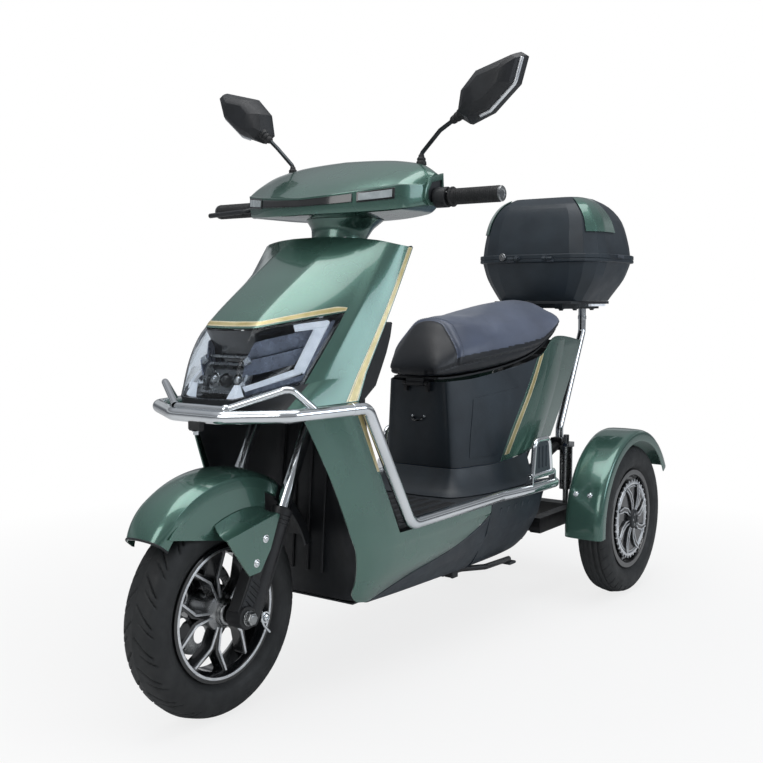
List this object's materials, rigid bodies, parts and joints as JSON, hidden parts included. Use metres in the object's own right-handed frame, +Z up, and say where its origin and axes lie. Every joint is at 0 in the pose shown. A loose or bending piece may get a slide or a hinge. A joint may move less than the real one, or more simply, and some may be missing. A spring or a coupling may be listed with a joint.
{
  "type": "electric three-wheel scooter",
  "caption": "Electric scooter with a raked steered front wheel, step-through floor, padded seat over the battery, paired rear hub-motor wheels, chrome guard rails and a lidded luggage box.",
  "frame": {"origin": "on the floor, in the middle of the overall length and width", "axes": "-Y is the front, +X the rider's left, +Z up"},
  "size_m": [0.816, 1.804, 1.285],
  "materials": {
    "green_paint": "metallic sage green lacquer",
    "black_plastic": "fine-grained black moulding",
    "black_steel": "satin black powder coat",
    "chrome": "polished chrome",
    "steel": "machined steel",
    "alloy": "cast and machined alloy",
    "tyre": "black tyre rubber",
    "rubber": "black rubber",
    "seat_vinyl": "soft black vinyl",
    "lamp_lens": "smoked lamp lens",
    "light_strip": "clear light strip",
    "red_lens": "red lamp lens",
    "mirror": "silvered glass",
    "battery": "sealed battery case"
  },
  "bodies": {
    "chassis": {"frame": "black_steel", "rear_axle": "black_steel", "rear_shocks": "steel", "front_cowl": "green_paint", "headlamp": "lamp_lens", "leg_shield_left": "green_paint", "leg_shield_right": "green_paint", "inner_shield": "black_plastic", "wheel_liner": "black_plastic", "floor_board": "rubber", "side_skirt_left": "black_plastic", "side_skirt_right": "black_plastic", "belly_pan": "black_plastic", "seat_plinth": "rubber", "seat_box": "black_plastic", "tail_panel_left": "green_paint", "tail_panel_right": "green_paint", "tail_cover": "black_plastic", "tail_lamp": "red_lens", "battery_pack": "battery", "seat_hinge": "black_steel", "guard_bar": "chrome", "guard_rail_left": "chrome", "guard_rail_right": "chrome", "rear_rack": "steel", "rear_fender_left": "green_paint", "rear_fender_right": "green_paint", "luggage_tub": "black_plastic"},
    "steering": {"fork_stem": "black_steel", "fork_tubes": "chrome", "fork_lowers": "black_steel", "front_axle": "steel", "front_fender": "green_paint", "fender_flap": "black_plastic", "steering_neck": "green_paint", "headset_cover": "green_paint", "headset_lamp": "light_strip", "handlebar": "black_steel", "grips": "rubber", "brake_levers": "black_plastic", "mirror_left": "black_plastic", "mirror_right": "black_plastic", "mirror_glass": "mirror", "brake_caliper": "alloy"},
    "front_wheel": {"front_tyre": "tyre", "front_rim": "alloy", "brake_disc": "steel"},
    "rear_wheel_left": {"rear_tyre_left": "tyre", "rear_hub_left": "alloy"},
    "rear_wheel_right": {"rear_tyre_right": "tyre", "rear_hub_right": "alloy"},
    "seat": {"seat_cushion": "seat_vinyl", "seat_pan": "black_plastic"},
    "lid": {"luggage_lid": "black_plastic"},
    "stand": {"side_stand": "black_steel"},
    "step_left": {"footrest_left": "chrome"},
    "step_right": {"footrest_right": "chrome"}
  },
  "joints": [
    {"name": "steering", "type": "hinge", "parent": "chassis", "child": "steering", "pos_m": [0, -0.675, 0.202], "axis": [0, 0.454, 0.891], "range_deg": [-35, 35]},
    {"name": "front_wheel", "type": "hinge", "parent": "steering", "child": "front_wheel", "pos_m": [0, -0.7, 0.202], "axis": [1, 0, 0], "continuous": true},
    {"name": "rear_wheel_left", "type": "hinge", "parent": "chassis", "child": "rear_wheel_left", "pos_m": [0.288, 0.56, 0.202], "axis": [1, 0, 0], "continuous": true},
    {"name": "rear_wheel_right", "type": "hinge", "parent": "chassis", "child": "rear_wheel_right", "pos_m": [-0.288, 0.56, 0.202], "axis": [1, 0, 0], "continuous": true},
    {"name": "seat", "type": "hinge", "parent": "chassis", "child": "seat", "pos_m": [0, -0.01, 0.592], "axis": [1, 0, 0], "range_deg": [0, 70]},
    {"name": "luggage_lid", "type": "hinge", "parent": "chassis", "child": "lid", "pos_m": [0, 0.57, 0.908], "axis": [1, 0, 0], "range_deg": [0, 80]},
    {"name": "side_stand", "type": "hinge", "parent": "chassis", "child": "stand", "pos_m": [0.108, -0.025, 0.146], "axis": [-1, 0, 0], "range_deg": [0, 34]},
    {"name": "footrest_left", "type": "hinge", "parent": "chassis", "child": "step_left", "pos_m": [0.224, 0.217, 0.36], "axis": [0, 1, 0], "range_deg": [0, 85]},
    {"name": "footrest_right", "type": "hinge", "parent": "chassis", "child": "step_right", "pos_m": [-0.224, 0.217, 0.36], "axis": [0, -1, 0], "range_deg": [0, 85]}
  ]
}
